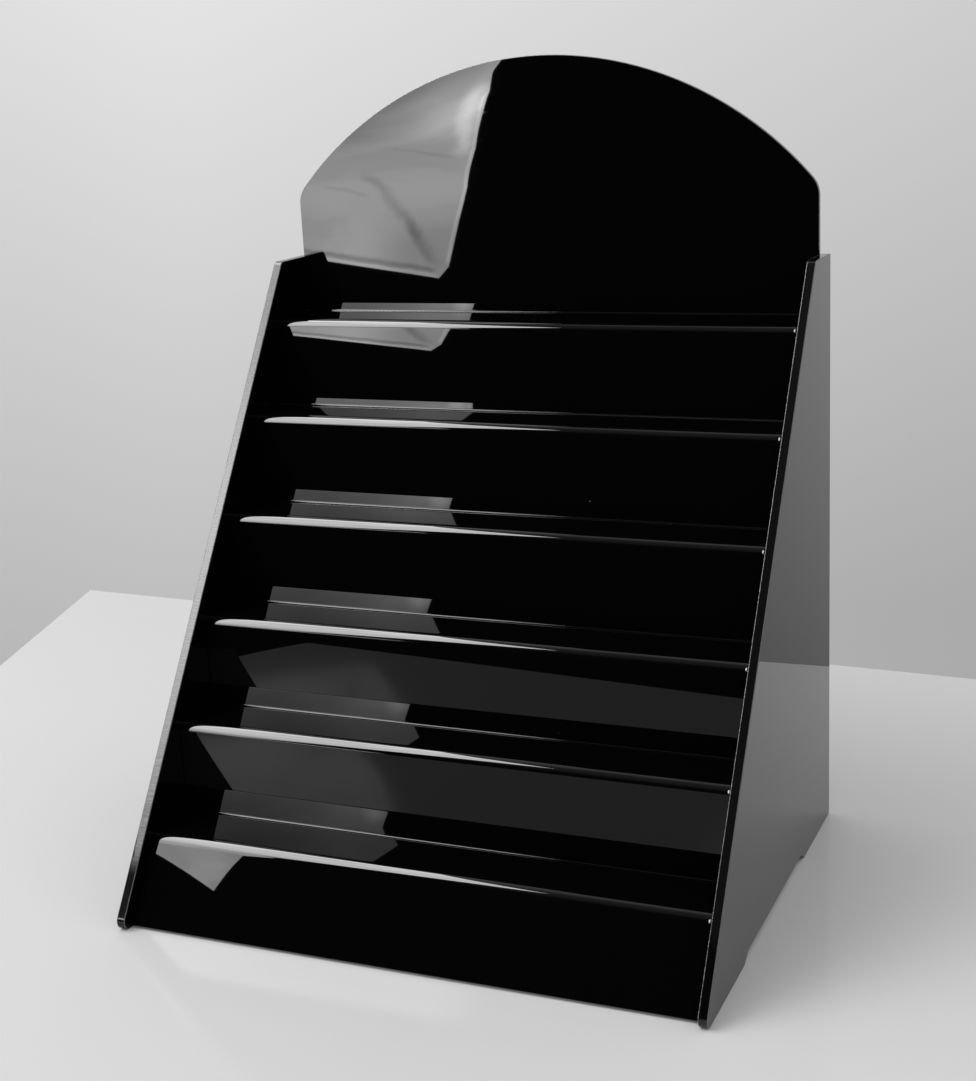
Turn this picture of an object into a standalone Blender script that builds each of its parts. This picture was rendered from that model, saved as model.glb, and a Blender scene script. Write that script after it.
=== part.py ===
"""Countertop display stand cut and bent from glossy black acrylic sheet.

Two wedge-shaped side panels carry six bent steps and an arched header board.
Metres, +Z up. The front faces -Y and the origin lies under the middle of the stand.
Profiles are drawn as (y, z) with y = 0 on the panels' back edges.
"""

import bpy
import bmesh
from math import acos, atan2, cos, hypot, pi, sin, sqrt, tan
from mathutils import Vector

# Overall stand
STAND_WIDTH = 0.400
JOINT_GAP = 0.0003

# Side panels: a wedge with a straight back edge and a raked front edge
PANEL_THICKNESS = 0.006
PANEL_HEIGHT = 0.404
PANEL_BASE_DEPTH = 0.3215
PANEL_TOP_DEPTH = 0.0430
PANEL_TOE_RADIUS = 0.0060
PANEL_BROW_RADIUS = 0.0045
PANEL_CREST_RADIUS = 0.0015
PANEL_HEEL_RADIUS = 0.0030

# Shallow relief along each panel's bottom edge, which leaves two feet
FRONT_FOOT_LENGTH = 0.0865
BACK_FOOT_LENGTH = 0.0785
RELIEF_HEIGHT = 0.0055
RELIEF_RAMP = 0.0080
RELIEF_FOOT_RADIUS = 0.0030
RELIEF_ROOF_RADIUS = 0.0050

# Bent steps: one sheet each, a front leaf and a tread with a rounded nose between them
STEP_COUNT = 6
STEP_SHEET = 0.003
NOSE_RADIUS = 0.0060
FIRST_TREAD_HEIGHT = 0.0517
TOP_TREAD_DROP = 0.0403
LOW_NOSE_SETBACK = 0.0108
TOP_NOSE_SETBACK = 0.0146
APRON_LIFT = 0.0032

# Header board standing on the top tread between the panels
HEADER_SHEET = 0.003
HEADER_BACK_INSET = 0.0045
HEADER_SHOULDER_RISE = 0.0455
HEADER_CROWN_RISE = 0.0913
HEADER_SHOULDER_RADIUS = 0.0190

# Eased arrises on the cut sheet edges
ARRIS_WIDTH = 0.0004
ARRIS_ANGLE = 0.9

# Facets in each full turn of a small corner, a bend and the header's arch
CORNER_FACETS = 48
BEND_FACETS = 48
ARCH_FACETS = 240

# Sheet colours
PANEL_COLOUR = (0.010, 0.010, 0.011, 1.0)
STEP_COLOUR = (0.008, 0.008, 0.009, 1.0)
HEADER_COLOUR = (0.009, 0.009, 0.010, 1.0)
SHEET_ROUGHNESS = 0.06
SHEET_METALLIC = 0.0


def clear_scene():
    for old in list(bpy.data.objects):
        bpy.data.objects.remove(old, do_unlink=True)


def acrylic(name, colour):
    material = bpy.data.materials.new(name)
    material.use_nodes = True
    shader = material.node_tree.nodes["Principled BSDF"]
    shader.inputs["Base Color"].default_value = colour
    shader.inputs["Roughness"].default_value = SHEET_ROUGHNESS
    shader.inputs["Metallic"].default_value = SHEET_METALLIC
    material.diffuse_color = colour
    return material


def arc(centre, radius, start, sweep, facets_per_turn):
    """Points on an arc from angle start through sweep, both ends included."""
    count = max(2, round(abs(sweep) / (2 * pi) * facets_per_turn))
    angles = [start + sweep * step / count for step in range(count + 1)]
    return [Vector((centre[0] + radius * cos(a), centre[1] + radius * sin(a))) for a in angles]


def corner_arc(before, corner, after, radius, facets_per_turn):
    """The arc that rounds a corner between two straight edges, limited by their lengths."""
    to_before = before - corner
    to_after = after - corner
    half_angle = acos(to_before.normalized().dot(to_after.normalized())) / 2
    longest_tangent = 0.49 * min(to_before.length, to_after.length)
    tangent = min(radius / tan(half_angle), longest_tangent)
    radius = tangent * tan(half_angle)
    bisector = (to_before.normalized() + to_after.normalized()).normalized()
    centre = corner + bisector * (radius / sin(half_angle))
    first = corner + to_before.normalized() * tangent - centre
    last = corner + to_after.normalized() * tangent - centre
    start = atan2(first.y, first.x)
    sweep = atan2(last.y, last.x) - start
    sweep = (sweep + pi) % (2 * pi) - pi
    return arc(centre, radius, start, sweep, facets_per_turn)


def rounded_outline(corners):
    """A closed outline from (point, radius) corners; a radius of zero stays sharp."""
    outline = []
    for index, (corner, radius) in enumerate(corners):
        before = Vector(corners[index - 1][0])
        after = Vector(corners[(index + 1) % len(corners)][0])
        if radius > 0:
            outline += corner_arc(before, Vector(corner), after, radius, CORNER_FACETS)
        else:
            outline.append(Vector(corner))
    return outline


def sheet_mesh(name, outline, to_space, thickness_step):
    """Extrude a flat outline into a sheet; to_space places an outline point in 3-D."""
    mesh = bmesh.new()
    rim = [mesh.verts.new(to_space(point)) for point in outline]
    face = mesh.faces.new(rim)
    extruded = bmesh.ops.extrude_face_region(mesh, geom=[face])
    moved = [item for item in extruded["geom"] if isinstance(item, bmesh.types.BMVert)]
    bmesh.ops.translate(mesh, vec=thickness_step, verts=moved)
    bmesh.ops.recalc_face_normals(mesh, faces=mesh.faces)
    data = bpy.data.meshes.new(name)
    mesh.to_mesh(data)
    mesh.free()
    return data


def add_piece(name, data, material, parent, location):
    data.materials.append(material)
    data.shade_smooth()
    data.set_sharp_from_angle(angle=ARRIS_ANGLE)
    piece = bpy.data.objects.new(name, data)
    bpy.context.scene.collection.objects.link(piece)
    piece.parent = parent
    piece.location = location
    return piece


def ease_arrises(piece):
    bevel = piece.modifiers.new("eased_arris", "BEVEL")
    bevel.width = ARRIS_WIDTH
    bevel.segments = 1
    bevel.limit_method = "ANGLE"
    bevel.angle_limit = ARRIS_ANGLE
    bevel.use_clamp_overlap = True


def front_edge(height):
    """The y of the panels' raked front edge at a height above the floor."""
    share = height / PANEL_HEIGHT
    return -(PANEL_BASE_DEPTH + (PANEL_TOP_DEPTH - PANEL_BASE_DEPTH) * share)


def panel_outline():
    relief_front = -PANEL_BASE_DEPTH + FRONT_FOOT_LENGTH
    relief_back = -BACK_FOOT_LENGTH
    return rounded_outline([
        ((-PANEL_BASE_DEPTH, 0), PANEL_TOE_RADIUS),
        ((relief_front, 0), RELIEF_FOOT_RADIUS),
        ((relief_front + RELIEF_RAMP, RELIEF_HEIGHT), RELIEF_ROOF_RADIUS),
        ((relief_back - RELIEF_RAMP, RELIEF_HEIGHT), RELIEF_ROOF_RADIUS),
        ((relief_back, 0), RELIEF_FOOT_RADIUS),
        ((0, 0), PANEL_HEEL_RADIUS),
        ((0, PANEL_HEIGHT), PANEL_CREST_RADIUS),
        ((-PANEL_TOP_DEPTH, PANEL_HEIGHT), PANEL_BROW_RADIUS),
    ])


def nose_corner(step):
    """Where the outer faces of a step's front leaf and tread would meet if left sharp."""
    share = step / (STEP_COUNT - 1)
    top_tread_height = PANEL_HEIGHT - TOP_TREAD_DROP
    height = FIRST_TREAD_HEIGHT + (top_tread_height - FIRST_TREAD_HEIGHT) * share
    setback = LOW_NOSE_SETBACK + (TOP_NOSE_SETBACK - LOW_NOSE_SETBACK) * share
    return Vector((front_edge(height) + setback, height))


def step_rear(step):
    """Where a tread ends: flush behind the next riser, or at the panels' back edges."""
    if step == STEP_COUNT - 1:
        return 0
    return nose_corner(step + 1).x + STEP_SHEET


def step_foot(step):
    """The outer bottom edge of a step's front leaf."""
    nose = nose_corner(step)
    if step > 0:
        return Vector((nose.x, nose_corner(step - 1).y + JOINT_GAP))
    rake = (PANEL_BASE_DEPTH - PANEL_TOP_DEPTH) / PANEL_HEIGHT
    return Vector((nose.x - (nose.y - APRON_LIFT) * rake, APRON_LIFT))


def step_outline(step):
    """One sheet bent once: up the front leaf, round the nose and back along the tread."""
    foot = step_foot(step)
    nose = nose_corner(step)
    rear = Vector((step_rear(step), nose.y))
    outer_bend = corner_arc(foot, nose, rear, NOSE_RADIUS, BEND_FACETS)
    leaf = (nose - foot).normalized()
    leaf_inward = Vector((leaf.y, -leaf.x)) * STEP_SHEET
    tread_inward = Vector((0, -STEP_SHEET))
    centre = outer_bend[-1] + tread_inward.normalized() * NOSE_RADIUS
    inner_share = (NOSE_RADIUS - STEP_SHEET) / NOSE_RADIUS
    inner_bend = [centre + (point - centre) * inner_share for point in outer_bend]
    outer = [foot] + outer_bend + [rear]
    inner = [foot + leaf_inward] + inner_bend + [rear + tread_inward]
    return outer + inner[::-1]


def header_outline():
    """An (x, z) outline: straight sides, filleted shoulders and one circular arch."""
    half_width = STAND_WIDTH / 2 - PANEL_THICKNESS - JOINT_GAP
    foot = PANEL_HEIGHT - TOP_TREAD_DROP + JOINT_GAP
    shoulder = PANEL_HEIGHT + HEADER_SHOULDER_RISE
    arch_radius = (half_width ** 2 + HEADER_CROWN_RISE ** 2) / (2 * HEADER_CROWN_RISE)
    arch_centre = shoulder + HEADER_CROWN_RISE - arch_radius
    fillet_x = half_width - HEADER_SHOULDER_RADIUS
    fillet_reach = arch_radius - HEADER_SHOULDER_RADIUS
    fillet_z = arch_centre + sqrt(fillet_reach ** 2 - fillet_x ** 2)
    fillet_sweep = atan2(fillet_z - arch_centre, fillet_x)
    fillet = arc((fillet_x, fillet_z), HEADER_SHOULDER_RADIUS, 0, fillet_sweep, CORNER_FACETS)
    arch = arc((0, arch_centre), arch_radius, fillet_sweep, pi - 2 * fillet_sweep, ARCH_FACETS)
    far_fillet = [Vector((-point.x, point.y)) for point in reversed(fillet)]
    corners = [Vector((-half_width, foot)), Vector((half_width, foot))]
    return corners + fillet + arch[1:-1] + far_fillet


def build_side_panels(stand, material):
    outline = panel_outline()
    inner_face = STAND_WIDTH / 2 - PANEL_THICKNESS
    for name, left_face in (("side_panel_left", -STAND_WIDTH / 2), ("side_panel_right", inner_face)):
        data = sheet_mesh(
            name, outline,
            lambda point: (0, point.x, point.y),
            (PANEL_THICKNESS, 0, 0))
        panel = add_piece(name, data, material, stand, (left_face, 0, 0))
        ease_arrises(panel)


def build_steps(stand, material):
    length = STAND_WIDTH - 2 * (PANEL_THICKNESS + JOINT_GAP)
    for step in range(STEP_COUNT):
        name = f"step_{step + 1}"
        nose = nose_corner(step)
        data = sheet_mesh(
            name, step_outline(step),
            lambda point: (-length / 2, point.x - nose.x, point.y - nose.y),
            (length, 0, 0))
        add_piece(name, data, material, stand, (0, nose.x, nose.y))


def build_header(stand, material):
    data = sheet_mesh(
        "header_board", header_outline(),
        lambda point: (point.x, 0, point.y),
        (0, HEADER_SHEET, 0))
    front_face = -HEADER_BACK_INSET - HEADER_SHEET
    header = add_piece("header_board", data, material, stand, (0, front_face, 0))
    ease_arrises(header)


def build_stand():
    clear_scene()
    toe = min(point.x for point in panel_outline())
    stand = bpy.data.objects.new("stand", None)
    stand.location = (0, -toe / 2, 0)
    bpy.context.scene.collection.objects.link(stand)
    build_side_panels(stand, acrylic("panel_acrylic", PANEL_COLOUR))
    build_steps(stand, acrylic("step_acrylic", STEP_COLOUR))
    build_header(stand, acrylic("header_acrylic", HEADER_COLOUR))
    bpy.context.view_layer.update()


build_stand()
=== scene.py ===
# Countertop display stand in glossy black acrylic sheet, standing on a pale table
from math import atan2, cos, exp, hypot, pi, radians, sin, sqrt, tan

import bmesh
import bpy
from mathutils import Matrix, Vector


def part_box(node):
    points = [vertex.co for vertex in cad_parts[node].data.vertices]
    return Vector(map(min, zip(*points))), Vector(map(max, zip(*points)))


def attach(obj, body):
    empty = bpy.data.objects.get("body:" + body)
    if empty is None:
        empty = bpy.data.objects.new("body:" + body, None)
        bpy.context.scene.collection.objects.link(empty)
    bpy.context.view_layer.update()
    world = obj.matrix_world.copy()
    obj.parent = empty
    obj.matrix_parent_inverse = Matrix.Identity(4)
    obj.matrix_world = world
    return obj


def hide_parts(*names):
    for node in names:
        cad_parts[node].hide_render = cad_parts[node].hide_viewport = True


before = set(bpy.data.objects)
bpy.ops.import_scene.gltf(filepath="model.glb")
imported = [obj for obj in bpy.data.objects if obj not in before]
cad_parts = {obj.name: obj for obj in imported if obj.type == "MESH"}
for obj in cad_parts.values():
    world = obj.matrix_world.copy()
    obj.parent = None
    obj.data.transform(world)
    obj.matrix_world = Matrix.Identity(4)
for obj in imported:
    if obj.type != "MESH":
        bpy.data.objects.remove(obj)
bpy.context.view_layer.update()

print("frame loaded:", len(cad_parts), "nodes")


# Node helpers

def nodeIn(tree, kind, **settings):
    node = tree.nodes.new(kind)
    for key, value in settings.items():
        setattr(node, key, value)
    return node


def plug(tree, source, target):
    tree.links.new(source, target)


def put(tree, socket, value):  # a number, a colour or another socket
    if isinstance(value, bpy.types.NodeSocket):
        plug(tree, value, socket)
    else:
        socket.default_value = value


def maths(tree, operation, first, second=0.0, third=None, clamp=False):
    node = nodeIn(tree, "ShaderNodeMath", operation=operation, use_clamp=clamp)
    put(tree, node.inputs[0], first)
    put(tree, node.inputs[1], second)
    if third is not None:
        put(tree, node.inputs[2], third)
    return node.outputs[0]


def remap(tree, value, low, high, toLow=0.0, toHigh=1.0, smooth=True):
    node = nodeIn(tree, "ShaderNodeMapRange", clamp=True)
    node.interpolation_type = "SMOOTHSTEP" if smooth else "LINEAR"
    for socket, number in zip(node.inputs[:5], (value, low, high, toLow, toHigh)):
        put(tree, socket, number)
    return node.outputs[0]


def mixColour(tree, share, first, second, blend="MIX"):
    node = nodeIn(tree, "ShaderNodeMix", data_type="RGBA", blend_type=blend)
    put(tree, node.inputs["Factor"], share)
    put(tree, node.inputs[6], first)
    put(tree, node.inputs[7], second)
    return node.outputs[2]


def grey(level):
    return (level, level, level, 1.0)


def scaled(colour, gain):
    return [channel * gain for channel in colour[:3]] + [1.0]


def noise(tree, vector, scale, detail=2.0, rough=0.5, distortion=0.0):
    node = nodeIn(tree, "ShaderNodeTexNoise")
    put(tree, node.inputs["Vector"], vector)
    node.inputs["Scale"].default_value = scale
    node.inputs["Detail"].default_value = detail
    node.inputs["Roughness"].default_value = rough
    node.inputs["Distortion"].default_value = distortion
    return node.outputs["Fac"]


def stretched(tree, vector, scale, rotation=(0, 0, 0), location=(0, 0, 0)):
    node = nodeIn(tree, "ShaderNodeMapping")
    put(tree, node.inputs["Vector"], vector)
    node.inputs["Location"].default_value = location
    node.inputs["Rotation"].default_value = rotation
    node.inputs["Scale"].default_value = scale
    return node.outputs[0]


def axes(tree, vector):  # its X, Y and Z apart
    parts = nodeIn(tree, "ShaderNodeSeparateXYZ")
    plug(tree, vector, parts.inputs[0])
    return parts.outputs


def newGroup(name, inputs, outputs):
    group = bpy.data.node_groups.new(name, "ShaderNodeTree")
    for label, kind, value in inputs:
        socket = group.interface.new_socket(label, in_out="INPUT", socket_type=kind)
        if value is not None:
            socket.default_value = value
    for label, kind in outputs:
        group.interface.new_socket(label, in_out="OUTPUT", socket_type=kind)
    return group, nodeIn(group, "NodeGroupInput"), nodeIn(group, "NodeGroupOutput")


def useGroup(tree, group, **values):
    node = nodeIn(tree, "ShaderNodeGroup", node_tree=group)
    for label, value in values.items():
        put(tree, node.inputs[label.replace("_", " ")], value)
    return node


# Effects that several finishes share

rippleLook = {
    "wideScale": 9.0,
    "fineScale": 42.0,
    "fineShare": 0.10,
}


def makeSheetRipple(look):  # cast acrylic is never quite flat, so straight reflections waver a little
    group, given, out = newGroup(
        "sheetRipple",
        [("Vector", "NodeSocketVector", None), ("Amount", "NodeSocketFloat", 1.0)],
        [("Height", "NodeSocketFloat")])
    wide = noise(group, given.outputs["Vector"], look["wideScale"], 1.0)
    fine = noise(group, given.outputs["Vector"], look["fineScale"], 1.0)
    both = maths(group, "MULTIPLY_ADD", fine, look["fineShare"], wide)
    plug(group, maths(group, "MULTIPLY", both, given.outputs["Amount"]), out.inputs["Height"])
    return group


wipeLook = {
    "strokeScale": (6.0, 260.0, 340.0),  # long one way and hair fine the others
    "strokeTurn": (0.3, 0.2, 0.5),
    "strokeRange": (0.56, 0.80),
    "patchScale": 14.0,
    "patchRange": (0.45, 0.75),
}


def makeWipeMarks(look):  # fine cleaning marks and a faint haze in the polish
    group, given, out = newGroup(
        "wipeMarks",
        [("Vector", "NodeSocketVector", None), ("Strength", "NodeSocketFloat", 1.0)],
        [("Mask", "NodeSocketFloat")])
    strokes = stretched(group, given.outputs["Vector"], look["strokeScale"], look["strokeTurn"])
    lines = remap(group, noise(group, strokes, 1.0, 3.0, 0.6), *look["strokeRange"])
    cloud = noise(group, given.outputs["Vector"], look["patchScale"], 3.0)
    mask = maths(group, "MULTIPLY", lines, remap(group, cloud, *look["patchRange"]))
    mask = maths(group, "MULTIPLY", mask, given.outputs["Strength"], clamp=True)
    plug(group, mask, out.inputs["Mask"])
    return group


def makeDustSpecks():  # a few separate grains, each well under a millimetre
    group, given, out = newGroup(
        "dustSpecks",
        [("Vector", "NodeSocketVector", None), ("Spacing", "NodeSocketFloat", 0.02),
         ("Size", "NodeSocketFloat", 0.0003), ("Share", "NodeSocketFloat", 0.3)],
        [("Mask", "NodeSocketFloat")])
    cells = nodeIn(group, "ShaderNodeTexVoronoi", feature="F1")
    plug(group, given.outputs["Vector"], cells.inputs["Vector"])
    density = maths(group, "DIVIDE", 1.0, given.outputs["Spacing"])
    plug(group, density, cells.inputs["Scale"])
    reach = maths(group, "MULTIPLY", given.outputs["Size"], density)
    near = maths(group, "LESS_THAN", cells.outputs["Distance"], reach)
    pick = nodeIn(group, "ShaderNodeSeparateColor")
    plug(group, cells.outputs["Color"], pick.inputs[0])
    chosen = maths(group, "LESS_THAN", pick.outputs[0], given.outputs["Share"])
    plug(group, maths(group, "MULTIPLY", near, chosen), out.inputs["Mask"])
    return group


sawLook = {
    "stretch": (0.06, 0.02, 1.0),  # the ridges run across the edge
    "ridgeRange": (0.40, 0.62),
}


def makeSawMarks(look):  # ridges that a saw leaves across a cut edge, unevenly deep
    group, given, out = newGroup(
        "sawMarks",
        [("Vector", "NodeSocketVector", None), ("Pitch", "NodeSocketFloat", 0.0011),
         ("Along", "NodeSocketFloat", 0.0)],
        [("Height", "NodeSocketFloat"), ("Mask", "NodeSocketFloat")])
    turned = nodeIn(group, "ShaderNodeVectorRotate", rotation_type="X_AXIS")
    plug(group, given.outputs["Vector"], turned.inputs["Vector"])
    plug(group, given.outputs["Along"], turned.inputs["Angle"])
    density = maths(group, "DIVIDE", 1.0, given.outputs["Pitch"])
    scale = nodeIn(group, "ShaderNodeVectorMath", operation="MULTIPLY")
    plug(group, turned.outputs[0], scale.inputs[0])
    scale.inputs[1].default_value = look["stretch"]
    spread = nodeIn(group, "ShaderNodeVectorMath", operation="SCALE")
    plug(group, scale.outputs[0], spread.inputs[0])
    plug(group, density, spread.inputs["Scale"])
    ridges = noise(group, spread.outputs[0], 1.0, 3.0, 0.65)
    plug(group, ridges, out.inputs["Height"])
    plug(group, remap(group, ridges, *look["ridgeRange"]), out.inputs["Mask"])
    return group


sheetRipple = makeSheetRipple(rippleLook)
wipeMarks = makeWipeMarks(wipeLook)
dustSpecks = makeDustSpecks()
sawMarks = makeSawMarks(sawLook)
print("shared finishes made")


# Finishes

faceFinish = {
    "colour": (0.0010, 0.0010, 0.0011, 1.0),
    "hazeScale": 3.0,
    "hazeGain": 1.6,
    "roughness": 0.012,
    "wipedRoughness": 0.05,
    "ior": 1.49,
    "rippleHeight": 0.00003,
    "dustColour": (0.30, 0.30, 0.30, 1.0),
    "dustRoughness": 0.7,
    "dustSpacing": 0.030,
    "dustSize": 0.00032,
    "dustShare": 0.16,
}


def startMaterial(name):
    material = bpy.data.materials.new(name)
    material.use_nodes = True
    tree = material.node_tree
    shader = tree.nodes["Principled BSDF"]
    place = nodeIn(tree, "ShaderNodeTexCoord").outputs["Object"]
    return material, tree, shader, place


def bumpOn(tree, shader, height, distance, strength=1.0):
    bump = nodeIn(tree, "ShaderNodeBump")
    bump.inputs["Strength"].default_value = strength
    bump.inputs["Distance"].default_value = distance
    plug(tree, height, bump.inputs["Height"])
    plug(tree, bump.outputs[0], shader.inputs["Normal"])


def polishedAcrylic(name, ripple=1.0, dust=1.0):
    look = faceFinish
    material, tree, shader, place = startMaterial(name)
    marks = useGroup(tree, wipeMarks, Vector=place)
    specks = useGroup(tree, dustSpecks, Vector=place, Spacing=look["dustSpacing"],
                      Size=look["dustSize"], Share=look["dustShare"] * dust)
    haze = noise(tree, place, look["hazeScale"], 2.0)
    deep = mixColour(tree, haze, look["colour"], scaled(look["colour"], look["hazeGain"]))
    colour = mixColour(tree, specks.outputs["Mask"], deep, look["dustColour"])
    plug(tree, colour, shader.inputs["Base Color"])
    gloss = remap(tree, marks.outputs["Mask"], 0.0, 1.0, look["roughness"], look["wipedRoughness"])
    dusty = maths(tree, "MULTIPLY", specks.outputs["Mask"], look["dustRoughness"])
    plug(tree, maths(tree, "MAXIMUM", gloss, dusty), shader.inputs["Roughness"])
    shader.inputs["IOR"].default_value = look["ior"]
    waves = useGroup(tree, sheetRipple, Vector=place, Amount=ripple)
    bumpOn(tree, shader, waves.outputs["Height"], look["rippleHeight"])
    return material


sawnFinish = {
    "colour": (0.137, 0.137, 0.138, 1.0),
    "roughness": 0.30,
    "topShine": 0.22,              # specular level high up on the edge
    "pitch": 0.0007,
}
rubbedFinish = {
    "colour": (0.004, 0.004, 0.004, 1.0),
    "roughness": 0.12,
    "topShine": 0.50,
    "pitch": 0.0006,
}
edgeFinish = {
    "dark": (0.002, 0.002, 0.002, 1.0),
    "ior": 1.49,
    "cutDepth": 0.00005,
    "furrow": 0.78,                # how light the furrows are beside the ridges
    "heightGain": (0.40, 0.10, 0.64, 1.28),  # the edge is lighter lower down: heights from and to, gain at each
    "shineFall": (0.40, 0.22),     # heights between which the shine changes
    "lowShine": 0.50,
    "smudgeScale": (160, 60, 60),
    "smudgeRange": (0.47, 0.58),
    "smudgeFall": (0.080, 0.030),  # the rubbed dark patches grow between these heights
    "smudgeShine": 0.10,
    "darkFoot": (0.050, 0.032),    # and close to the table the whole edge is dark
    "flamedColour": (0.004, 0.004, 0.004, 1.0),
    "flamedRoughness": 0.16,
    "flamedPitch": 0.0009,
}


def sawnEdge(name, lean, finish):  # a raked front edge, straight from the saw or rubbed down
    look = edgeFinish
    material, tree, shader, place = startMaterial(name)
    height = axes(tree, place)["Z"]
    cuts = useGroup(tree, sawMarks, Vector=place, Pitch=finish["pitch"], Along=lean)
    blotches = noise(tree, stretched(tree, place, look["smudgeScale"]), 1.0, 3.0, 0.6)
    blotches = remap(tree, blotches, *look["smudgeRange"])
    smudges = maths(tree, "MULTIPLY", remap(tree, height, *look["smudgeFall"]), blotches)
    smudges = maths(tree, "MAXIMUM", smudges, remap(tree, height, *look["darkFoot"]))
    ridges = remap(tree, cuts.outputs["Mask"], 0.0, 1.0, look["furrow"], 1.0)
    cut = mixColour(tree, ridges, look["dark"], finish["colour"])
    # the edge's colour grows lighter towards its foot
    heightToned = remap(tree, height, *look["heightGain"], smooth=False)
    cut = mixColour(tree, 1.0, cut, heightToned, blend="MULTIPLY")
    plug(tree, mixColour(tree, smudges, cut, look["dark"]), shader.inputs["Base Color"])
    dull = finish["roughness"]
    plug(tree, remap(tree, cuts.outputs["Mask"], 0.0, 1.0, dull * 0.7, dull), shader.inputs["Roughness"])
    shine = remap(tree, height, *look["shineFall"], finish["topShine"], look["lowShine"])
    shine = maths(tree, "MULTIPLY", shine, remap(tree, smudges, 0.0, 1.0, 1.0, look["smudgeShine"]))
    plug(tree, shine, shader.inputs["Specular IOR Level"])
    shader.inputs["IOR"].default_value = look["ior"]
    bumpOn(tree, shader, cuts.outputs["Height"], look["cutDepth"], 0.4)
    return material


def flamedEdge(name):  # the other cut edges, flamed nearly clear
    look = edgeFinish
    material, tree, shader, place = startMaterial(name)
    cuts = useGroup(tree, sawMarks, Vector=place, Pitch=look["flamedPitch"], Along=0.0)
    colour = mixColour(tree, cuts.outputs["Mask"], look["dark"], look["flamedColour"])
    plug(tree, colour, shader.inputs["Base Color"])
    dull = look["flamedRoughness"]
    plug(tree, remap(tree, cuts.outputs["Mask"], 0.0, 1.0, dull * 0.6, dull), shader.inputs["Roughness"])
    shader.inputs["IOR"].default_value = look["ior"]
    bumpOn(tree, shader, cuts.outputs["Height"], look["cutDepth"], 0.6)
    return material


arrisFinish = {
    "sharp": (0.02, 0.28, 0.00004),  # darkest and lightest grey, and how deep the chips are
    "soft": (0.10, 0.13, 0.00001),
    "header": (0.13, 0.19, 0.00001),
    # the cement drops are painted near white: a painted highlight standing in for the glint at each nose's
    # end
    "drop": (0.75, 0.95, 0.00004),
    "chipScale": 1300.0,
    "chipRange": (0.42, 0.60),
    "roughness": (0.30, 0.60),
}


def chippedArris(name, kind):  # the fine corner line that a saw chips and leaves whitish, and the near-white cement drops, whose light colour is a painted highlight
    look = arrisFinish
    dark, light, depth = look[kind]
    material, tree, shader, place = startMaterial(name)
    chips = remap(tree, noise(tree, place, look["chipScale"], 2.0, 0.7), *look["chipRange"])
    plug(tree, mixColour(tree, chips, grey(dark), grey(light)), shader.inputs["Base Color"])
    plug(tree, remap(tree, chips, 0.0, 1.0, *look["roughness"]), shader.inputs["Roughness"])
    shader.inputs["IOR"].default_value = edgeFinish["ior"]
    bumpOn(tree, shader, chips, depth, 0.8)
    return material


# Mesh helpers

flatGuard = 0.0003  # length of the short strip between a bend and the flat beside it


def arcPoints(centre, radius, start, sweep, perTurn):
    count = max(2, round(abs(sweep) / (2 * pi) * perTurn))
    turns = [start + sweep * step / count for step in range(count + 1)]
    return [Vector((centre[0] + radius * cos(a), centre[1] + radius * sin(a))) for a in turns]


def roundCorner(before, corner, after, radius, perTurn):
    toBefore = (before - corner).normalized()
    toAfter = (after - corner).normalized()
    half = toBefore.angle(toAfter) / 2
    centre = corner + (toBefore + toAfter).normalized() * (radius / sin(half))
    tangent = radius / tan(half)
    first = corner + toBefore * tangent - centre
    last = corner + toAfter * tangent - centre
    start = atan2(first.y, first.x)
    sweep = (atan2(last.y, last.x) - start + pi) % (2 * pi) - pi
    return arcPoints(centre, radius, start, sweep, perTurn)


def roundedOutline(corners, perTurn):  # a point just off each arc keeps the straight sides flat in the gloss
    outline = []
    for index, (corner, radius) in enumerate(corners):
        before = Vector(corners[index - 1][0])
        after = Vector(corners[(index + 1) % len(corners)][0])
        arc = roundCorner(before, Vector(corner), after, radius, perTurn)
        outline.append(arc[0] + (before - arc[0]).normalized() * flatGuard)
        outline += arc
        outline.append(arc[-1] + (after - arc[-1]).normalized() * flatGuard)
    return outline


def outwardNormals(outline):  # for a closed outline that runs anticlockwise
    normals = []
    for index, point in enumerate(outline):
        inward = (point - outline[index - 1]).normalized()
        onward = (outline[(index + 1) % len(outline)] - point).normalized()
        first = Vector((inward.y, -inward.x))
        second = Vector((onward.y, -onward.x))
        mitre = (first + second).normalized()
        normals.append(mitre / max(0.5, mitre.dot(first)))
    return normals


def arrisSteps(arris, thickness, segments):  # (inset, depth) of each ring, from one face to the other
    turns = [pi / 2 * step / segments for step in range(segments + 1)]
    near = [(arris * (1 - sin(a)), arris * (1 - cos(a))) for a in turns]
    return near + [(inset, thickness - depth) for inset, depth in reversed(near)]


def shadeAndLink(bm, name, materials, smoothSlots):
    bmesh.ops.recalc_face_normals(bm, faces=bm.faces)
    for face in bm.faces:
        face.smooth = face.material_index in smoothSlots
    for edge in bm.edges:
        edge.smooth = len({face.material_index for face in edge.link_faces}) < 2
    mesh = bpy.data.meshes.new(name)
    bm.to_mesh(mesh)
    bm.free()
    for material in materials:
        mesh.materials.append(material)
    piece = bpy.data.objects.new(name, mesh)
    bpy.context.scene.collection.objects.link(piece)
    return piece


def bridgeRings(bm, rings, slotOf):  # slotOf(ring, place) gives a face's material slot
    for ring, (lower, upper) in enumerate(zip(rings, rings[1:])):
        for place in range(len(lower)):
            onward = (place + 1) % len(lower)
            face = bm.faces.new((lower[place], lower[onward], upper[onward], upper[place]))
            face.material_index = slotOf(ring, place)


def outlineRings(bm, outline, steps, toSpace):
    normals = outwardNormals(outline)
    rings = []
    for inset, depth in steps:
        ring = [point - normal * inset for point, normal in zip(outline, normals)]
        rings.append([bm.verts.new(toSpace(point, depth)) for point in ring])
    return rings


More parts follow.
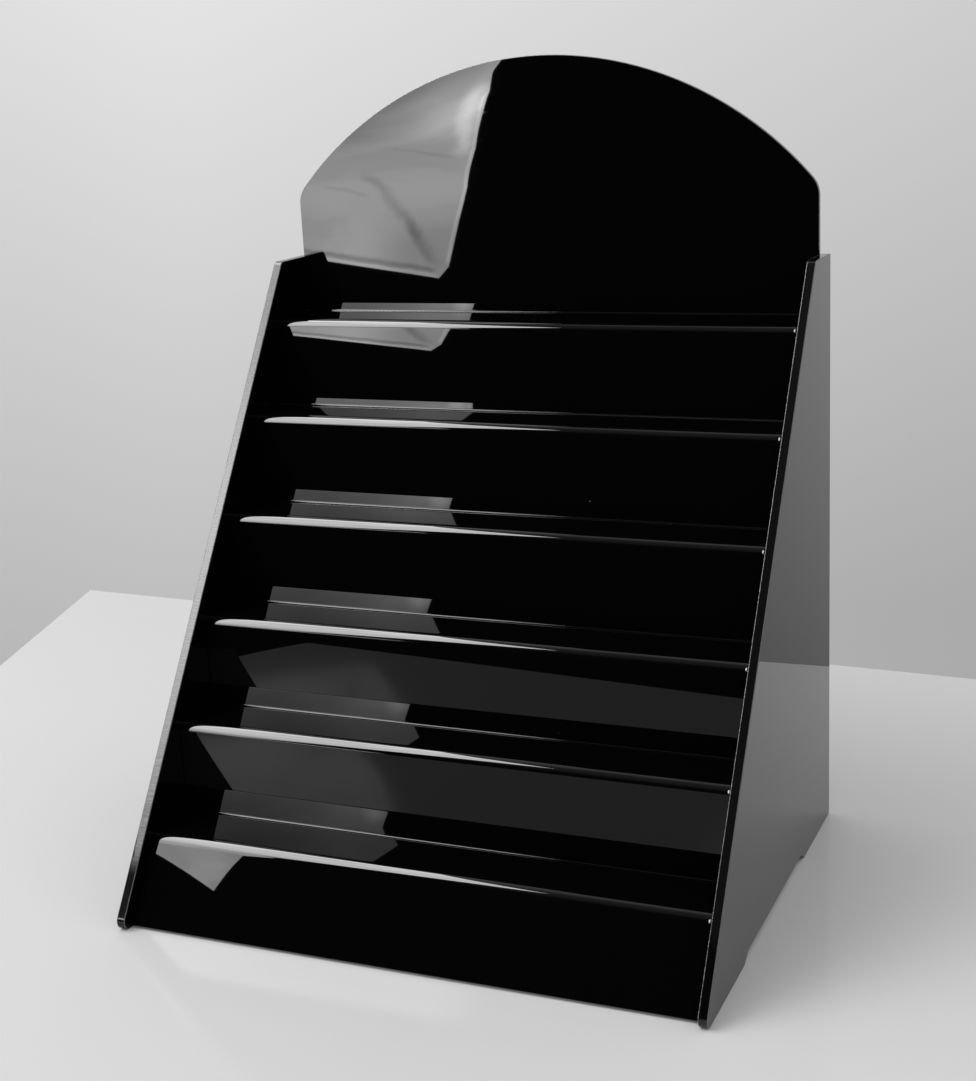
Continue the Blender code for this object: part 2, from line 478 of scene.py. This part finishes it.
cementShape = {
    "beadRadius": 0.0011,
    "beadFacets": 10,
    "beadColumns": 24,
    "dropRadius": 0.0012,
    "dropFlatness": 0.6,
    "dropRows": 6,
    "dropFacets": 12,
    "dropInset": 0.0031,       # of the lowest drop from the sheet's end
    "dropDrift": 0.0003,       # each higher drop lies this much further in
    "dropBelowTread": 0.0030,
}


def cementBead(bm, faceAt, treadTop, halfWidth, slot):  # the thin line of cement along a foot
    radius = cementShape["beadRadius"]
    facets = cementShape["beadFacets"]
    columns = cementShape["beadColumns"]
    turns = [pi / 2 * step / facets for step in range(facets + 1)]
    rows = []
    for a in turns:
        row = []
        for column in range(columns + 1):
            x = halfWidth * (2 * column / columns - 1)
            y = faceAt(x) - radius * (1 - cos(a))
            row.append(bm.verts.new((x, y, treadTop + radius * (1 - sin(a)))))
        rows.append(row)
    for lower, upper in zip(rows, rows[1:]):
        for column in range(columns):
            face = bm.faces.new((lower[column], lower[column + 1], upper[column + 1], upper[column]))
            face.material_index = slot


def cementDropPaintedGlint(bm, place, slot):  # a flattened drop squeezed out where a nose meets its panel; its near-white material is a painted glint
    rows = cementShape["dropRows"]
    facets = cementShape["dropFacets"]
    rings = []
    for row in range(1, rows):
        a = pi * row / rows
        ring = []
        for turn in range(facets):
            b = 2 * pi * turn / facets
            offset = Vector((cementShape["dropFlatness"] * cos(a), sin(a) * cos(b), sin(a) * sin(b)))
            ring.append(bm.verts.new(place + offset * cementShape["dropRadius"]))
        rings.append(ring)
    bridgeRings(bm, rings, lambda ring, place: slot)
    for ring in (rings[0], rings[-1]):
        bm.faces.new(ring).material_index = slot


# Side panels

panelShape = {
    "baseDepth": 0.3215,     # where the raked front edge would meet the table if left sharp
    "topDepth": 0.0430,
    "toeRadius": 0.0060,
    "browRadius": 0.0045,
    "crestRadius": 0.0015,
    "heelRadius": 0.0030,
    "frontFoot": 0.0865,
    "backFoot": 0.0785,
    "reliefHeight": 0.0055,
    "reliefRamp": 0.0080,
    "reliefFootRadius": 0.0030,
    "reliefRoofRadius": 0.0050,
    "arris": 0.00045,
    "arrisSegments": 3,
    "facetsPerTurn": 120,
}

panelLow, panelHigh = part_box("side_panel_left")
panelBack = panelHigh.y
panelHeight = panelHigh.z
panelThickness = panelHigh.x - panelLow.x
rakeRun = panelShape["baseDepth"] - panelShape["topDepth"]
rakeSlope = rakeRun / panelHeight
rakeAngle = atan2(rakeRun, panelHeight)


def panelOutline():  # (y, z), anticlockwise seen from -X
    shape = panelShape
    toe = panelBack - shape["baseDepth"]
    frontRelief = toe + shape["frontFoot"]
    backRelief = panelBack - shape["backFoot"]
    ramp = shape["reliefRamp"]
    roof = shape["reliefHeight"]
    return roundedOutline([
        ((toe, 0), shape["toeRadius"]),
        ((frontRelief, 0), shape["reliefFootRadius"]),
        ((frontRelief + ramp, roof), shape["reliefRoofRadius"]),
        ((backRelief - ramp, roof), shape["reliefRoofRadius"]),
        ((backRelief, 0), shape["reliefFootRadius"]),
        ((panelBack, 0), shape["heelRadius"]),
        ((panelBack, panelHeight), shape["crestRadius"]),
        ((panelBack - shape["topDepth"], panelHeight), shape["browRadius"]),
    ], shape["facetsPerTurn"])


def onRake(outline, place):  # the raked front edge is the only side that runs far both ways
    side = outline[(place + 1) % len(outline)] - outline[place]
    return min(abs(side.x), abs(side.y)) > 0.1


def buildPanel(name, node, materials):  # faces, raked edge, other edges, left and right arris
    low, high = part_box(node)
    outline = panelOutline()
    middle = panelShape["arrisSegments"]
    steps = arrisSteps(panelShape["arris"], panelThickness, middle)
    bm = bmesh.new()
    rings = outlineRings(bm, outline, steps, lambda point, depth: (low.x + depth, point.x, point.y))

    def slotOf(ring, place):
        if ring == middle:
            return 1 if onRake(outline, place) else 2
        return 3 if ring < middle else 4

    bridgeRings(bm, rings, slotOf)
    for ring in (rings[0], rings[-1]):
        bm.faces.new(ring).material_index = 0
    piece = shadeAndLink(bm, name, materials, (1, 2, 3, 4))
    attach(piece, "root")
    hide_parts(node)


panelFace = polishedAcrylic("panelFace", ripple=0.8)
panelSawn = sawnEdge("panelSawnEdge", rakeAngle, sawnFinish)
panelRubbed = sawnEdge("panelRubbedEdge", rakeAngle, rubbedFinish)
panelEdge = flamedEdge("panelOtherEdges")
panelArris = chippedArris("panelArris", "sharp")
softArris = chippedArris("softArris", "soft")
buildPanel("leftPanel", "side_panel_left", [panelFace, panelSawn, panelEdge, softArris, softArris])
buildPanel("rightPanel", "side_panel_right", [panelFace, panelRubbed, panelEdge, panelArris, softArris])
print("side panels made")


# Bent steps

stepCount = 6
stepShape = {
    "sheet": 0.0030,
    "noseRadius": 0.0084,
    "noseStart": radians(27),  # the bend begins this abruptly, because only a narrow strip was heated
    "noseFacets": 200,         # in a full turn
    "bowTilt": radians(2.2),   # how far the heat of the bend turns the leaf back just below the nose
    "bowReach": 0.028,         # how fast that fades further down
    "topLean": radians(1.15),  # the top leaf leans a little more than the others
    "leafRows": 36,
    "arris": 0.00025,
    "arrisSegments": 2,
}


def leafOffset(below, lean):  # how far the leaf's face stands forward at a distance below the tread
    reach = stepShape["bowReach"]
    bow = reach * tan(stepShape["bowTilt"]) * (1 - exp(-below / reach))
    return bow + below * tan(lean)


def stepOutline(foot, nose, rear, lean):  # (y, z) of a sheet bent once, anticlockwise seen from -X
    shape = stepShape
    sheet = shape["sheet"]
    radius = shape["noseRadius"]
    leaf = (nose - foot).normalized()
    inward = Vector((leaf.y, -leaf.x))
    length = (nose - foot).length
    rows = shape["leafRows"]
    tilt = atan2(leaf.x, leaf.y)
    first = max(shape["noseStart"], tilt)
    setback = radius * (cos(first) + tan(tilt) * (sin(first) - 1))
    centre = Vector((nose.x + setback, nose.y - radius))
    bend = arcPoints(centre, radius, pi - first, first - pi / 2, shape["noseFacets"])
    start = (bend[0] - foot).length
    outer = []
    for row in range(rows):
        along = start * row / rows
        outer.append(foot + leaf * along - inward * leafOffset(length - along, lean))
    outer.append(bend[0] - leaf * flatGuard - inward * leafOffset(length - start + flatGuard, lean))
    for point in bend:
        below = max(0.0, nose.y - point.y)
        outer.append(point - inward * leafOffset(below, lean))
    outer.append(outer[-1] + Vector((flatGuard, 0)))
    outer.append(rear)
    inwards = outwardNormals(outer)      # the leaf and tread run clockwise here, so these point inwards
    inner = [point + way * sheet for point, way in zip(outer[1:-1], inwards[1:-1])]
    innerFoot = outer[0] + inward * sheet
    innerRear = Vector((rear.x, rear.y - sheet))
    return (outer + [innerRear] + inner[::-1] + [innerFoot])[::-1]


def buildStep(index, materials):  # faces, cut edges, arris, cement line, cement drop painted near white as a glint
    node = "step_%d" % (index + 1)
    low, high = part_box(node)
    isFirst = index == 0
    noseY = low.y + (high.z - low.z) * rakeSlope if isFirst else low.y  # the lowest leaf follows the rake
    nose = Vector((noseY, high.z))
    foot = Vector((low.y, low.z))
    lean = stepShape["topLean"] if index == stepCount - 1 else 0.0
    outline = stepOutline(foot, nose, Vector((high.y, high.z)), lean)
    count = len(outline)
    middle = stepShape["arrisSegments"]
    steps = arrisSteps(stepShape["arris"], high.x - low.x, middle)
    bm = bmesh.new()
    rings = outlineRings(bm, outline, steps, lambda point, depth: (low.x + depth, point.x, point.y))

    def slotOf(ring, place):
        side = outline[(place + 1) % count] - outline[place]
        isCut = abs(side.length - stepShape["sheet"]) < 0.0002
        if ring != middle:
            return 2
        return 1 if isCut else 0

    bridgeRings(bm, rings, slotOf)
    for ring in (rings[0], rings[-1]):
        bm.faces.new(ring).material_index = 1
    if not isFirst:
        footFace = foot.x - leafOffset((nose - foot).length, lean)
        cementBead(bm, lambda x: footFace, low.z, high.x, 3)
    dropX = high.x - cementShape["dropInset"] - cementShape["dropDrift"] * index
    dropZ = nose.y - cementShape["dropBelowTread"]
    onNose = min((p for p in outline if abs(p.y - dropZ) < 0.0004), key=lambda p: p.x)
    cementDropPaintedGlint(bm, Vector((dropX, onNose.x, onNose.y)), 4)
    piece = shadeAndLink(bm, "step%d" % (index + 1), materials, (0, 2, 3, 4))
    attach(piece, "root")
    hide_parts(node)


stepFace = polishedAcrylic("stepFace", ripple=0.6, dust=1.4)
stepEdge = flamedEdge("stepEdge")
stepArris = flamedEdge("stepArris")
beadFace = polishedAcrylic("cementBead", ripple=0.0, dust=0.0)
# near-white cement drops, a painted highlight for the glint where each nose meets its panel
paintedGlintDrop = chippedArris("cementDropPaintedGlint", "drop")
for index in range(stepCount):
    buildStep(index, [stepFace, stepEdge, stepArris, beadFace, paintedGlintDrop])
print("steps made:", stepCount)


# Header board

headerShape = {
    "shoulderRise": 0.0455,   # above the panels' tops
    "crownRise": 0.0913,      # of the arch above its shoulders
    "shoulderRadius": 0.0190,
    "turn": radians(0.60),    # the board stands a little skew on the top tread
    "crownTurn": radians(-0.75),  # and is twisted slightly towards its crown
    "twistFrom": 0.455,
    "arris": 0.00035,
    "arrisSegments": 3,
    "archRows": 90,
    "filletRows": 14,
    "sideRows": 24,
    "columns": 48,
}


def headerSide(low, high):  # (half width, z, outward x, outward z) up the right side to the crown
    shape = headerShape
    halfWidth = high.x
    shoulder = panelHeight + shape["shoulderRise"]
    crown = shape["crownRise"]
    archRadius = (halfWidth ** 2 + crown ** 2) / (2 * crown)
    archCentre = shoulder + crown - archRadius
    filletRadius = shape["shoulderRadius"]
    filletX = halfWidth - filletRadius
    filletZ = archCentre + sqrt((archRadius - filletRadius) ** 2 - filletX ** 2)
    sweep = atan2(filletZ - archCentre, filletX)
    side = []
    for row in range(shape["sideRows"]):
        share = row / shape["sideRows"]
        side.append((halfWidth, low.z + (filletZ - low.z) * share, 1.0, 0.0))
    for row in range(shape["filletRows"]):
        a = sweep * row / shape["filletRows"]
        side.append((filletX + filletRadius * cos(a), filletZ + filletRadius * sin(a), cos(a), sin(a)))
    for row in range(shape["archRows"]):
        a = sweep + (pi / 2 - sweep) * row / shape["archRows"]
        side.append((archRadius * cos(a), archCentre + archRadius * sin(a), cos(a), sin(a)))
    return side, archCentre + archRadius


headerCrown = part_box("header_board")[1].z  # read once, because headerTurn runs for every point


def headerTurn(z):
    shape = headerShape
    share = max(0.0, (z - shape["twistFrom"]) / (headerCrown - shape["twistFrom"]))
    return shape["turn"] + (shape["crownTurn"] - shape["turn"]) * share * share


def buildHeader(materials):  # faces, cut edge, arris, cement line
    low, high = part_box("header_board")
    thickness = high.y - low.y
    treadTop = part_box("step_6")[1].z
    side, crown = headerSide(low, high)
    arris = headerShape["arris"]
    bm = bmesh.new()

    def toSpace(x, z, depth):
        return bm.verts.new((x, low.y + depth + x * tan(headerTurn(z)), z))

    def ringPoint(entry, inset, sign):
        x, z, outX, outZ = entry
        return sign * (x - inset * outX), max(z - inset * outZ, low.z + inset)

    rings = []
    for inset, depth in arrisSteps(arris, thickness, headerShape["arrisSegments"]):
        right = [ringPoint(entry, inset, 1) for entry in side]
        left = [ringPoint(entry, inset, -1) for entry in side]
        ring = right + [(0.0, crown - inset)] + left[::-1]
        rings.append([toSpace(x, z, depth) for x, z in ring])
    middle = headerShape["arrisSegments"]
    count = len(rings[0])
    belowTops = [place for place in range(count) if rings[0][place].co.z < panelHeight]
    bridgeRings(bm, rings, lambda ring, place: 1 if ring == middle or place in belowTops else 2)
    rows = len(side)
    columns = headerShape["columns"]
    for ring, depth in ((rings[0], 0.0), (rings[-1], thickness)):
        grid = []
        for row in range(rows):
            right = ring[row]
            left = ring[count - 1 - row]
            line = [left]
            for column in range(1, columns):
                x = left.co.x + (right.co.x - left.co.x) * column / columns
                line.append(toSpace(x, right.co.z, depth))
            grid.append(line + [right])
        for lower, upper in zip(grid, grid[1:]):
            for column in range(columns):
                bm.faces.new((lower[column], lower[column + 1], upper[column + 1], upper[column]))
        for column in range(columns):
            bm.faces.new((grid[-1][column], grid[-1][column + 1], ring[rows]))
    cementBead(bm, lambda x: low.y + x * tan(headerShape["turn"]), treadTop, high.x, 3)
    piece = shadeAndLink(bm, "headerBoard", materials, (0, 1, 2, 3))
    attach(piece, "root")
    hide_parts("header_board")


headerFace = polishedAcrylic("headerFace", ripple=1.0, dust=0.8)
headerEdge = flamedEdge("headerEdge")
headerArris = chippedArris("headerArris", "header")
buildHeader([headerFace, headerEdge, headerArris, beadFace])
print("header board made")


# Table

tableLook = {
    "frontLeft": (-0.405, -0.545),
    "backLeft": (-0.690, 0.508),
    "backRight": (1.40, 0.424),
    "frontRight": (1.40, -0.28),
    "colour": (0.665, 0.665, 0.665, 1.0),
    "roughness": 0.12,
    "specular": 0.10,
    "cloudScale": 4.0,
    "cloudGain": 0.97,
    "inGloss": 0.50,         # how much dimmer the acrylic shows the table
    "inGlossRight": 1.15,    # and the part of it to the right of the stand
    "rightFrom": (0.10, 0.23),
}


def buildTable():
    look = tableLook
    corners = [look[key] for key in ("frontLeft", "frontRight", "backRight", "backLeft")]
    bm = bmesh.new()
    bm.faces.new([bm.verts.new((x, y, 0)) for x, y in corners])
    material, tree, shader, place = startMaterial("tableTop")
    cloud = noise(tree, place, look["cloudScale"], 3.0)
    colour = mixColour(tree, cloud, look["colour"], scaled(look["colour"], look["cloudGain"]))
    path = nodeIn(tree, "ShaderNodeLightPath")
    across = axes(tree, place)["X"]
    share = remap(tree, across, *look["rightFrom"], look["inGloss"], look["inGlossRight"])
    dimmed = mixColour(tree, 1.0, colour, share, blend="MULTIPLY")
    colour = mixColour(tree, path.outputs["Is Glossy Ray"], colour, dimmed)
    plug(tree, colour, shader.inputs["Base Color"])
    shader.inputs["Roughness"].default_value = look["roughness"]
    shader.inputs["Specular IOR Level"].default_value = look["specular"]
    table = shadeAndLink(bm, "tableTop", [material], ())


buildTable()


# Soft boxes: two glowing cloth cards that only the gloss sees

clothLook = {
    "foldStretch": (2.4, 2.4, 4.0),
    "foldTurn": (0.2, 0.9, 0.4),
    "foldScale": 2.2,
    "foldRange": (0.34, 0.62),
    "wobbleScale": 24.0,
    "wobble": 1.6,           # how far a crease strays, in half widths
}
frontCard = {
    "corners": [(-1.247, -0.809, 0.372), (-0.634, -1.109, 0.226), (-0.620, -1.116, 0.243),
                (-0.589, -1.131, 0.358), (-0.580, -1.135, 0.434), (-0.583, -1.134, 0.499),
                (-0.586, -1.132, 0.534), (-0.591, -1.130, 0.550), (-0.596, -1.128, 0.566),
                (-0.590, -1.130, 0.590), (-0.583, -1.134, 0.620), (-0.628, -1.112, 0.660),
                (-0.640, -1.106, 0.740), (-0.729, -1.062, 0.700), (-0.796, -1.030, 0.600),
                (-1.247, -0.809, 0.570)],
    "sheets": [tuple(range(16))],
    "glowRange": (0.25, 0.60, 7.6, 7.6),  # heights from and to, glow at each
    "foldDepth": 0.16,
    "patches": [((-0.69, -0.61), (0.43, 0.52), 0.50),  # across from and to, height from and to, gain
                ((-0.69, -0.61), (0.535, 0.560), -0.30),
                ((-0.74, -0.66), (0.36, 0.27), -0.30),
                ((-0.64, -0.76), (0.43, 0.53), -0.32),
                ((-1.30, -1.25), (0.550, 0.610), -0.36)],
    "creases": [((-0.722, 0.394), (-0.655, 0.285), 0.013, -0.22),  # from and to, half width, gain
                ((-0.672, 0.312), (-0.638, 0.250), 0.014, -0.28),
                ((-0.690, 0.465), (-0.605, 0.420), 0.005, -0.12),
                ((-0.778, 0.370), (-0.723, 0.353), 0.006, -0.12),
                ((-0.607, 0.555), (-0.597, 0.430), 0.018, 0.45),
                ((-1.247, 0.383), (-0.640, 0.238), 0.007, -0.38),
                ((-1.247, 0.376), (-0.636, 0.230), 0.0035, 0.25),
                ((-0.622, 0.248), (-0.5925, 0.358), 0.004, 0.35),
                ((-0.5925, 0.358), (-0.5835, 0.434), 0.004, 0.35),
                ((-0.5835, 0.434), (-0.5895, 0.534), 0.004, 0.25)],
}
overheadCard = {
    "corners": [(-0.832, -1.040, 0.806), (-0.457, -0.364, 1.560), (-0.645, 0.580, 1.440),
                (-1.350, 0.600, 1.300), (-1.677, -0.630, 1.190)],
    "sheets": [(0, 1, 4), (1, 2, 3, 4)],
    "glowRange": (0.80, 1.25, 5.4, 12.5),
    "foldDepth": 0.26,
    "patches": [],
    "creases": [],
}


def creaseMask(tree, at, wobble, start, end, width):  # a soft line between two points, across and up
    length = hypot(end[0] - start[0], end[1] - start[1])
    wayX = (end[0] - start[0]) / length
    wayZ = (end[1] - start[1]) / length
    x = maths(tree, "SUBTRACT", at["X"], start[0])
    z = maths(tree, "SUBTRACT", at["Z"], start[1])
    aside = maths(tree, "MULTIPLY_ADD", x, wayZ, maths(tree, "MULTIPLY", z, -wayX))
    aside = maths(tree, "MULTIPLY_ADD", wobble, clothLook["wobble"] * width, aside)
    along = maths(tree, "MULTIPLY_ADD", x, wayX, maths(tree, "MULTIPLY", z, wayZ))
    near = remap(tree, maths(tree, "ABSOLUTE", aside), width, 0.0)
    begun = remap(tree, along, -width, width)
    unended = remap(tree, along, length + width, length - width)
    return maths(tree, "MULTIPLY", near, maths(tree, "MULTIPLY", begun, unended))


def cardCloth(name, look):  # a glow that changes with height, with faint folds, patches and creases
    material = bpy.data.materials.new(name)
    material.use_nodes = True
    tree = material.node_tree
    tree.nodes.clear()
    place = nodeIn(tree, "ShaderNodeTexCoord").outputs["Object"]
    at = axes(tree, place)
    glow = remap(tree, at["Z"], *look["glowRange"])
    folds = stretched(tree, place, clothLook["foldStretch"], clothLook["foldTurn"])
    folds = noise(tree, folds, clothLook["foldScale"], 3.0, 0.5, 0.8)
    shade = remap(tree, folds, *clothLook["foldRange"], 1.0 - look["foldDepth"], 1.0)
    masks = []
    for across, height, gain in look["patches"]:
        patch = maths(tree, "MULTIPLY", remap(tree, at["X"], *across), remap(tree, at["Z"], *height))
        masks.append((patch, gain))
    wobble = maths(tree, "SUBTRACT", noise(tree, place, clothLook["wobbleScale"], 3.0, 0.6), 0.5)
    for start, end, width, gain in look["creases"]:
        masks.append((creaseMask(tree, at, wobble, start, end, width), gain))
    for mask, gain in masks:
        shade = maths(tree, "MULTIPLY", shade, maths(tree, "MULTIPLY_ADD", mask, gain, 1.0))
    emission = nodeIn(tree, "ShaderNodeEmission")
    plug(tree, maths(tree, "MULTIPLY", glow, shade), emission.inputs["Strength"])
    output = nodeIn(tree, "ShaderNodeOutputMaterial")
    plug(tree, emission.outputs[0], output.inputs["Surface"])
    return material


def buildCard(name, look):
    bm = bmesh.new()
    corners = [bm.verts.new(corner) for corner in look["corners"]]
    for sheet in look["sheets"]:
        bm.faces.new([corners[place] for place in sheet])
    card = shadeAndLink(bm, name, [cardCloth(name + "Cloth", look)], ())
    for part in ("camera", "diffuse", "transmission", "volume_scatter", "shadow"):
        setattr(card, "visible_" + part, False)


buildCard("frontCard", frontCard)
buildCard("overheadCard", overheadCard)
print("table and cards made")


# Lamp and room

lampLook = {
    "place": (-1.3, -0.7, 1.9),
    "aim": (0.0, 0.0, 0.1),
    "size": 1.6,
    "power": 26.0,
}


def buildLamp(look):
    data = bpy.data.lights.new("softLamp", "AREA")
    data.energy = look["power"]
    data.shape = "SQUARE"
    data.size = look["size"]
    lamp = bpy.data.objects.new("softLamp", data)
    bpy.context.scene.collection.objects.link(lamp)
    lamp.location = look["place"]
    lamp.rotation_euler = (Vector(look["aim"]) - lamp.location).to_track_quat("-Z", "Y").to_euler()
    lamp.visible_glossy = False
    lamp.visible_camera = False


roomLook = {
    "ambient": 0.78,
    "wall": 0.68,            # the wall as the camera sees it, on the left
    "wallRight": 0.45,
    "wallFade": (-0.70, 0.05),
    "wallLift": (-0.30, 0.10, 0.77, 1.26),  # from and to, gain at each, as in the next ones
    "cornerLift": (-0.64, -0.52, 0.94, 1.04),
    "wallGloss": 0.50,       # the wall as the acrylic sees it
    "wallGlossFrom": (-0.05, 0.30),
    "wallGlossLift": (-0.33, -0.11, 0.60, 1.25),
    "ceilingGloss": 0.20,
    "ceilingFrom": (0.72, 0.98),
    "frontGloss": 0.004,     # the dark room before the stand
}


def buildRoom(look):
    world = bpy.data.worlds.new("room")
    bpy.context.scene.world = world
    world.use_nodes = True
    tree = world.node_tree
    background = tree.nodes["Background"]
    way = axes(tree, nodeIn(tree, "ShaderNodeTexCoord").outputs["Generated"])
    path = nodeIn(tree, "ShaderNodeLightPath")
    across = remap(tree, way["X"], *look["wallFade"], smooth=False)
    wall = mixColour(tree, across, grey(look["wall"]), grey(look["wallRight"]))
    lift = remap(tree, way["Z"], *look["wallLift"], smooth=False)
    lift = maths(tree, "MULTIPLY", lift, remap(tree, way["X"], *look["cornerLift"]))
    wall = mixColour(tree, 1.0, wall, lift, blend="MULTIPLY")
    behind = remap(tree, way["Y"], *look["wallGlossFrom"])
    above = remap(tree, way["Z"], *look["ceilingFrom"])
    front = mixColour(tree, above, grey(look["frontGloss"]), grey(look["ceilingGloss"]))
    fall = remap(tree, way["Z"], *look["wallGlossLift"], smooth=False)
    far = mixColour(tree, 1.0, grey(look["wallGloss"]), fall, blend="MULTIPLY")
    gloss = mixColour(tree, behind, front, far)
    shown = mixColour(tree, path.outputs["Is Glossy Ray"], grey(look["ambient"]), gloss)
    shown = mixColour(tree, path.outputs["Is Camera Ray"], shown, wall)
    plug(tree, shown, background.inputs["Color"])


buildLamp(lampLook)
buildRoom(roomLook)


# Camera

cameraLook = {
    "place": (0.4590, -1.0275, 0.5404),
    "pan": radians(23.62),
    "tilt": radians(15.18),
    "roll": radians(-2.843),
    "lens": 59.135,
    "sensorWidth": 36.0,
    "nearest": 0.05,
}


def buildCamera(look):
    data = bpy.data.cameras.new("camera")
    data.lens = look["lens"]
    data.sensor_width = look["sensorWidth"]
    data.clip_start = look["nearest"]
    camera = bpy.data.objects.new("camera", data)
    bpy.context.scene.collection.objects.link(camera)
    turn = Matrix.Rotation(look["pan"], 4, "Z")
    turn = turn @ Matrix.Rotation(pi / 2 - look["tilt"], 4, "X")
    turn = turn @ Matrix.Rotation(look["roll"], 4, "Z")
    camera.matrix_world = Matrix.Translation(look["place"]) @ turn
    bpy.context.scene.camera = camera


buildCamera(cameraLook)
bpy.context.scene.view_settings.view_transform = "Standard"
print("lamp, room and camera made")
